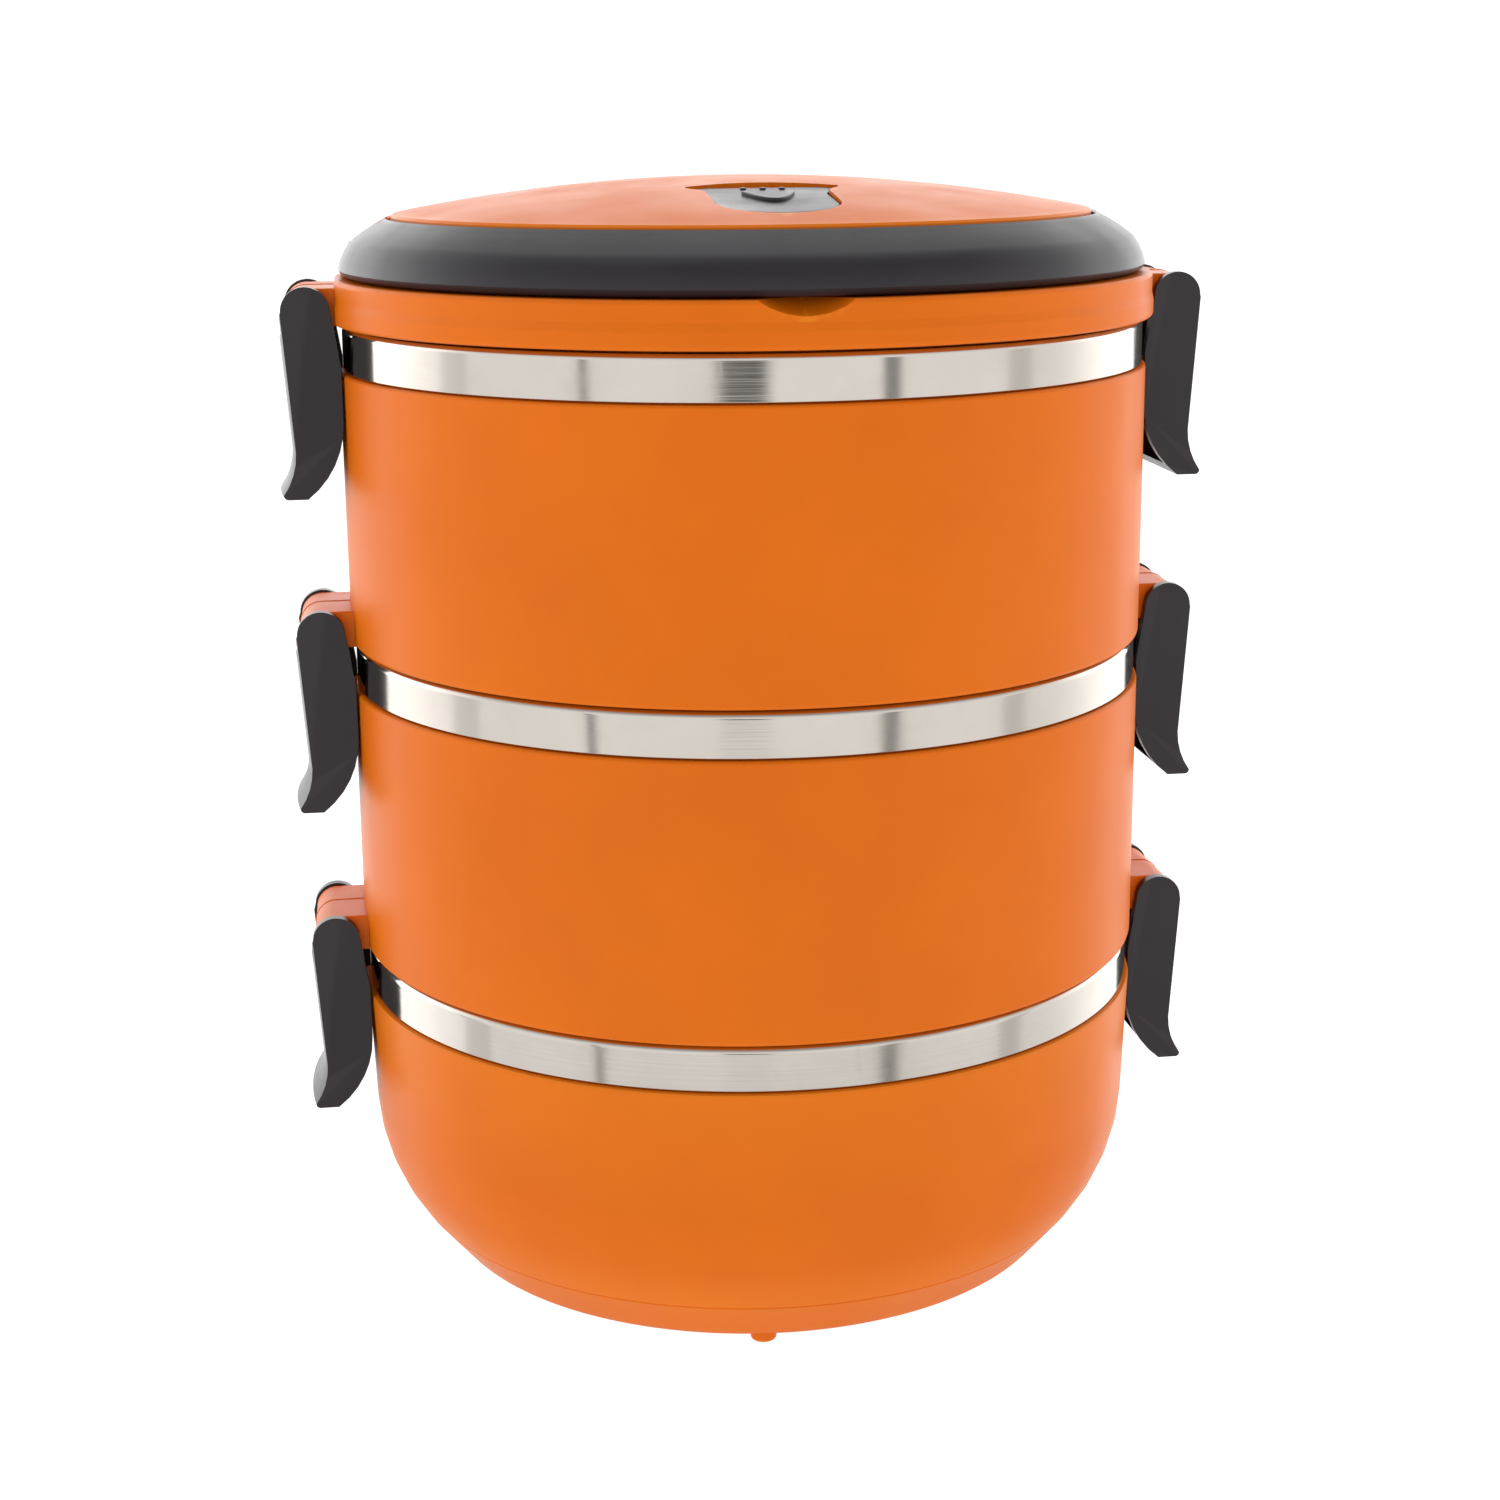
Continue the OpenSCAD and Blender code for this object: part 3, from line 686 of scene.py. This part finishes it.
def bowl_curve(inset):
    """The bowl's outline from its flat bottom to its top edge, moved inwards."""
    top = SEAMS["base"] - BAND_H - FOOT_H
    slope, draft = math.radians(CONE), math.radians(DRAFT)
    arc_x = (BODY_R - BOWL_ARC_R * math.cos(draft)
             - (top - BOWL_ARC_Z + BOWL_ARC_R * math.sin(draft)) * math.tan(draft))
    crease_x = arc_x + math.sqrt(BOWL_ARC_R ** 2 - (BOWL_ARC_Z - CREASE_Z) ** 2)
    crease = Vector((crease_x - inset * math.sin(slope), CREASE_Z + inset * math.cos(slope)))
    foot = Vector((crease.x - (crease.y - inset) / math.tan(slope), inset))
    drop = math.degrees(math.asin((BOWL_ARC_Z - crease.y) / (BOWL_ARC_R - inset)))
    side = arc((arc_x, BOWL_ARC_Z), BOWL_ARC_R - inset, -drop, -DRAFT)
    reach = BLEND_R * math.tan(slope / 2)
    blend = arc((foot.x - reach, inset + BLEND_R), BLEND_R, -90, -90 + CONE)
    edge = side[-1]
    rim = Vector((edge.x + (top - edge.y) * math.tan(draft), top))
    if inset:
        return blend + side + [rim]
    # the fine line at the crease
    down = Vector((-math.cos(slope), -math.sin(slope)))
    into = Vector((-math.sin(slope), math.cos(slope)))
    line = [crease + down * 0.6, crease + down * 0.45 + into * 0.16, crease + down * 0.12 + into * 0.16]
    return blend + line + side + [rim]


def base_shell():
    outer, inner = bowl_curve(0), bowl_curve(WALL)
    top = outer[-1].y
    edge = [Vector((BODY_R, top - 0.6)), Vector((BODY_R - 0.18, top - 0.18)),
            Vector((BODY_R - 0.6, top))]
    collar = rounded([(NECK_R + 1, top, 0), *neck(top), (BODY_R - WALL - 2, top - 8, 0)])[1:-1]
    wall = [p for p in reversed(inner) if p.y < top - 8]
    bottom = [Vector((0, WALL)), Vector((0, UNDER_DEPTH)), Vector((UNDER_R - 0.7, UNDER_DEPTH)),
              Vector((UNDER_R - 0.3, 0.2)), Vector((UNDER_R, 0))]
    outline = outer[:-1] + edge + collar + wall + bottom
    shell = place(lathe("base_shell_piece", outline), Matrix.Translation((0, 0, FOOT_H * MM)))
    feet = []
    for k in range(4):
        a = math.radians(FEET_FROM + 90 * k)
        spot = Vector((FOOT_CIRCLE_R * math.cos(a), FOOT_CIRCLE_R * math.sin(a), 0))
        profile = rounded([(0, 0, 0), (FOOT_R, 0, 0.6), (FOOT_R, FOOT_H + WALL, 0),
                           (0, FOOT_H + WALL, 0)])
        foot = lathe("foot", profile, segments=40)
        feet.append(place(foot, Matrix.Translation(spot * MM)))
    combine(shell, "UNION", *feet, *keepers(SEAMS["base"]))
    deliver(shell, "base_tier", "orange_plastic", "base_shell")


def liner(tier, corner):
    low = level(tier + "_liner")
    top = SEAMS[tier] - GAP
    skirt = top - BAND_H + GAP + 0.2
    outline = rounded([(0, low, 0), (LINER_R + SHEET, low, corner), (LINER_R + SHEET, top - SHEET, 0.4),
                       (NECK_R, top - SHEET, 0.6), (NECK_R, skirt, 0.25), (SKIRT_R, skirt, 0.25),
                       (SKIRT_R, top, 1.3), (LINER_R, top, 1.2),
                       (LINER_R, low + SHEET, corner - SHEET), (0, low + SHEET, 0)])
    piece = lathe(tier + "_liner_piece", outline)
    deliver(piece, tier + "_tier", "liner_steel", tier + "_liner")


# ---- lid ----

RIM_R = BODY_R + 0.8
PROUD = 0.3
LEDGE_Z = 7.7            # top of the lid's rim above the lid's bottom
DOME_R = 62.3
DOME_EDGE = 18.4
DOME_RISE = 6.0
DOME_TOP_R = DOME_R - 0.4    # where the dome's side turns into its round top
DOME_SPHERE = (DOME_TOP_R ** 2 + DOME_RISE ** 2) / (2 * DOME_RISE)
SHOULDER_Y = 6.2
HANDLE_IN = 62.65
HANDLE_SIDE = (60.53, 6.82, 11.18)      # centre and radius of the section's side arc
HANDLE_CROWN = (47.9, -13.6, 34.72)     # and of the arc across its top
HANDLE_END_R = 4.5
OFF_AXIS = 0.4           # start angle that keeps a ring's points clear of the cutting planes
FLAT_X = 72.1            # the rim's flats behind the lid's latches
SCOOP = (13.8, 75, LEDGE_Z + 11.1)
PIN_R = 1.5
BOSS_R = 3.5
PLATE_Z = BOTTOM["lid"]


def dome_curve(inset):
    """The dome's outline from its side up to its top, moved inwards."""
    radius = DOME_SPHERE - inset
    centre_z = DOME_EDGE + DOME_RISE - DOME_SPHERE
    reach = math.degrees(math.asin((DOME_TOP_R - inset) / radius))
    return [Vector((radius * math.sin(math.radians(reach * k / 24)),
                    centre_z + radius * math.cos(math.radians(reach * k / 24))))
            for k in range(24, -1, -1)]


def handle_outline(inset, floor_z, foot=1.2):
    """Section of the handle: a flat inner side and bottom under two arcs."""
    sx, sz, sr = HANDLE_SIDE
    cx, cz, cr = HANDLE_CROWN
    sr, cr = sr - inset, cr - inset
    inner = HANDLE_IN + inset
    # where the two arcs cross
    gap = math.hypot(cx - sx, cz - sz)
    along = (sr ** 2 - cr ** 2 + gap ** 2) / (2 * gap)
    off = math.sqrt(sr ** 2 - along ** 2)
    ux, uz = (cx - sx) / gap, (cz - sz) / gap
    cross = Vector((sx + along * ux - off * uz, sz + along * uz + off * ux))
    if cross.x < inner:
        cross = Vector((sx + along * ux + off * uz, sz + along * uz - off * ux))
    top = cz + math.sqrt(cr ** 2 - (inner - cx) ** 2)
    first = math.degrees(math.asin((floor_z + foot - sz) / sr))
    meet = math.degrees(math.atan2(cross.y - sz, cross.x - sx))
    side = arc((sx, sz), sr, first, meet)
    start = math.degrees(math.atan2(cross.y - cz, cross.x - cx))
    end = math.degrees(math.atan2(top - cz, inner - cx))
    crown = [Vector((cx + cr * math.cos(math.radians(start + (end - start) * k / 6)),
                     cz + cr * math.sin(math.radians(start + (end - start) * k / 6))))
             for k in range(1, 7)]
    tuck = [Vector((side[0].x - 0.35, floor_z + 0.4 * foot)), Vector((side[0].x - foot, floor_z))]
    return [Vector((inner, floor_z)), *reversed(tuck), *side, *crown[:-1],
            Vector((inner + 0.3, top - 0.05)), Vector((inner, top - 0.35))]


def handle():
    ring = lathe("handle_piece", handle_outline(0, LEDGE_Z + GAP), first=OFF_AXIS)
    place(ring, Matrix.Translation((0, 0, PLATE_Z * MM)))
    front = [(-100, PLATE_Z - 5), (0, PLATE_Z - 5), *arc((0, PIVOT_Z), HANDLE_END_R, -90, 90),
             (0, PLATE_Z + 40), (-100, PLATE_Z + 40)]
    keep = place(extrude_y("keep", front, -101, 101), Matrix.Rotation(math.pi / 2, 4, "Z"))
    combine(ring, "INTERSECT", keep)
    groove = lathe("groove", handle_outline(2.0, LEDGE_Z - 4), first=2 * OFF_AXIS)
    place(groove, Matrix.Translation((0, 0, PLATE_Z * MM)))
    combine(groove, "INTERSECT", block("front", (-100, -100, 0), (100, -9, 300)))
    combine(ring, "DIFFERENCE", groove)
    for sign in (-1, 1):
        combine(ring, "DIFFERENCE",
                rod("hole", BORE_R, (sign * 60, 0, PIVOT_Z), (sign * 69.5, 0, PIVOT_Z)))
    deliver(ring, "carrying_handle", "charcoal_plastic", "handle", smooth=40)


# ---- vent ----

VENT_R = 10.4
VENT_FRONT = 53.6
VENT_LEN = 30.9
VENT_TILT = 5.8
EAR_W = 13.0
RECESS_DEPTH = 2.5
RECESS_REAR = 32.4
RECESS_REAR_R = 26.0
POCKET_T = 1.8
TUBE_R = 4.0
VENT_BORE_R = 2.0
FLAP_STUB_R = 0.6
STEM_R = 1.2
FLAP_T = 1.5
FLAP_REAR = 29.6
FLAP_EAR_W = 11.6
FLAP_HINGE = (28.6, -0.8)
VENT_HOLE_AT = 17.0


def vent_frame():
    """Lies in the flap's top face: the origin is its front edge, +Y points to the rear."""
    drop = DOME_SPHERE - math.sqrt(DOME_SPHERE ** 2 - VENT_FRONT ** 2)
    front_z = PLATE_Z + DOME_EDGE + DOME_RISE - drop
    return (Matrix.Translation((0, -VENT_FRONT * MM, front_z * MM))
            @ Matrix.Rotation(math.radians(VENT_TILT), 4, "X"))


def vent_outline(half, rear, ear, grow=0.0):
    """Plan of the recess or the flap: a round front, straight sides and two ears at the rear."""
    front = arc((0, VENT_R), half + grow, 180, 360)
    waist, tip, end = half + grow, ear + grow, VENT_LEN
    right = [(waist, end - 10), (waist + 0.2, end - 8), (waist + 0.8, end - 6.7),
             (tip - 0.5, end - 4.6), (tip, end - 3.6), (tip, rear - 1.9),
             (tip - 0.5, rear - 0.9), (tip - 1.4, rear - 0.25), (tip - 2.6, rear + grow)]
    left = [(-x, y) for x, y in reversed(right)]
    return front + [Vector(p) for p in right + left]


def recess_outline(grow=0.0):
    """Plan of the recess, whose rear edge is bowed."""
    radius, tip = RECESS_REAR_R + grow, EAR_W + grow
    edge = math.degrees(math.acos(tip / radius))
    plan = vent_outline(VENT_R, VENT_LEN, EAR_W, grow)
    sides = [p for p in plan if p.y < VENT_LEN - 3.5]
    bow = arc((0, RECESS_REAR - RECESS_REAR_R), radius, edge, 180 - edge)
    right = [p for p in sides if p.x > 0 and p.y > VENT_R]
    left = [Vector((-p.x, p.y)) for p in reversed(right)]
    return arc((0, VENT_R), VENT_R + grow, 180, 360) + right + bow + left


def lid_shell():
    inner_z = LEDGE_Z - 3.4
    cap, under = dome_curve(0), dome_curve(WALL)
    edge = cap[0]
    rim = rounded([(RIM_R - WALL, 0, 0.3), (RIM_R + PROUD, 0, 0.8), (RIM_R + PROUD, 2.9, 1.5),
                   (RIM_R, 4.3, 1.5), (RIM_R, LEDGE_Z, 0.8), (DOME_R, LEDGE_Z, 0.5),
                   (DOME_R, 12.5, 0), (DOME_TOP_R, 16.5, 0), (DOME_TOP_R, DOME_EDGE - 0.35, 0),
                   (DOME_R - 0.75, DOME_EDGE + 0.04, 0), (30, inner_z, 0)])[:-1]
    inside = [Vector((DOME_R - WALL, 14.0)), Vector((DOME_R - WALL, inner_z)),
              Vector((RIM_R - WALL, inner_z))]
    outline = rim + cap[1:] + list(reversed(under)) + inside
    shell = lathe("lid_shell_piece", outline)

    side = LATCH_W / 2 + 0.8
    flats = [block("flat", (FLAT_X, -side, -2), (90, side, LEDGE_Z + 2)),
             block("flat", (-90, -side, -2), (-FLAT_X, side, LEDGE_Z + 2))]
    scoop = ball("scoop", SCOOP[0], (0, -SCOOP[1], SCOOP[2]))
    combine(scoop, "INTERSECT", block("low", (-20, -100, 0), (20, -50, LEDGE_Z + 0.6)))
    combine(shell, "DIFFERENCE", *flats, scoop)

    crest = handle_outline(0, LEDGE_Z - 0.5)
    ring = [Vector((DOME_R - 0.5, LEDGE_Z - 0.5))] + crest[1:] + [Vector((HANDLE_IN, 16.6)),
                                                                Vector((DOME_R - 0.5, 16.6))]
    shoulder = lathe("shoulder", ring, first=OFF_AXIS)
    combine(shoulder, "INTERSECT", block("rear", (-100, SHOULDER_Y, 0), (100, 100, 40)))
    soften(shoulder, 0.35, 60, 2)
    combine(shell, "UNION", shoulder)
    place(shell, Matrix.Translation((0, 0, PLATE_Z * MM)))

    pose = vent_frame()
    pocket = place(extrude_z("pocket", recess_outline(POCKET_T), -RECESS_DEPTH - POCKET_T, 6), pose)
    core = lathe("core", [Vector((0, 0)), Vector((DOME_R - 1, 0)), *dome_curve(0.7)])
    place(core, Matrix.Translation((0, 0, PLATE_Z * MM)))
    combine(pocket, "INTERSECT", core)
    hole_y = -VENT_FRONT + VENT_HOLE_AT
    tube = rod("tube", TUBE_R, (0, hole_y, PLATE_Z - 3), (0, hole_y, PLATE_Z + DOME_EDGE))
    combine(shell, "UNION", pocket, tube)
    recess = place(extrude_z("recess", recess_outline(), -RECESS_DEPTH, 10), pose)
    bore = rod("bore", VENT_BORE_R, (0, hole_y, PLATE_Z - 9), (0, hole_y, PLATE_Z + 40))
    hinge = place(rod("hinge", FLAP_STUB_R + 0.07, (-14.2, *FLAP_HINGE), (14.2, *FLAP_HINGE), 24), pose)
    combine(shell, "DIFFERENCE", recess, bore, hinge)
    for sign in (-1, 1):
        boss = rod("boss", BOSS_R, (sign * 50, 0, PIVOT_Z), (sign * 60.5, 0, PIVOT_Z))
        combine(shell, "UNION", boss)
        combine(shell, "DIFFERENCE",
                rod("pin_hole", PIN_R, (sign * 52, 0, PIVOT_Z), (sign * 64, 0, PIVOT_Z)))
    combine(shell, "UNION", *lugs(PLATE_Z, FLAT_X))
    deliver(shell, "lid", "orange_plastic", "lid_shell")


def chevron(reach, rise, thick):
    """A finger ridge in the shape of a deep smile, open to the rear."""
    across = [-reach + 2 * reach * k / 16 for k in range(17)]
    curve = [Vector((x, rise * (x / reach) ** 2)) for x in across]
    inner = []
    for x, point in zip(across, curve):
        slope = 2 * rise * x / reach ** 2
        normal = Vector((-slope, 1)).normalized()
        inner.append(point + normal * thick)
    return curve + list(reversed(inner))


def vent_flap():
    pose = vent_frame()
    flap = extrude_z("vent_flap_piece", vent_outline(VENT_R - GAP, FLAP_REAR, FLAP_EAR_W), -FLAP_T, 0)
    soften(flap, 0.3, 50, 3)
    stubs = rod("stubs", FLAP_STUB_R, (-13.9, *FLAP_HINGE), (13.9, *FLAP_HINGE), 24)
    ridge = extrude_z("ridge", chevron(4.5, 9.0, 0.9), -0.4, 0.65)
    soften(ridge, 0.2, 50, 3)
    place(ridge, Matrix.Translation((0, 12.2 * MM, 0)))
    dots = [rod("dot", 0.55, (x, FLAP_REAR - 2.2, -0.4), (x, FLAP_REAR - 2.2, 0.3), 20)
            for x in (-3.3, 0, 3.3)]
    dots = [soften(dot, 0.12, 50, 2) for dot in dots]
    combine(flap, "UNION", stubs, ridge, *dots)
    combine(flap, "DIFFERENCE",
            rod("stem_hole", STEM_R, (0, VENT_HOLE_AT, -FLAP_T - 1), (0, VENT_HOLE_AT, -FLAP_T + 0.6)))
    place(flap, pose)
    deliver(flap, "vent", "charcoal_plastic", "vent_flap")


# ---- build ----

make_materials()
camera()
studio_world()
lights()
floor()
dress_cad_nodes()
for tier, corner in (("base", 14.0), ("middle", 9.0), ("upper", 9.0)):
    liner(tier, corner)
for tier in ("middle", "upper"):
    tier_shell(tier)
base_shell()
make_latches()
handle()
lid_shell()
vent_flap()
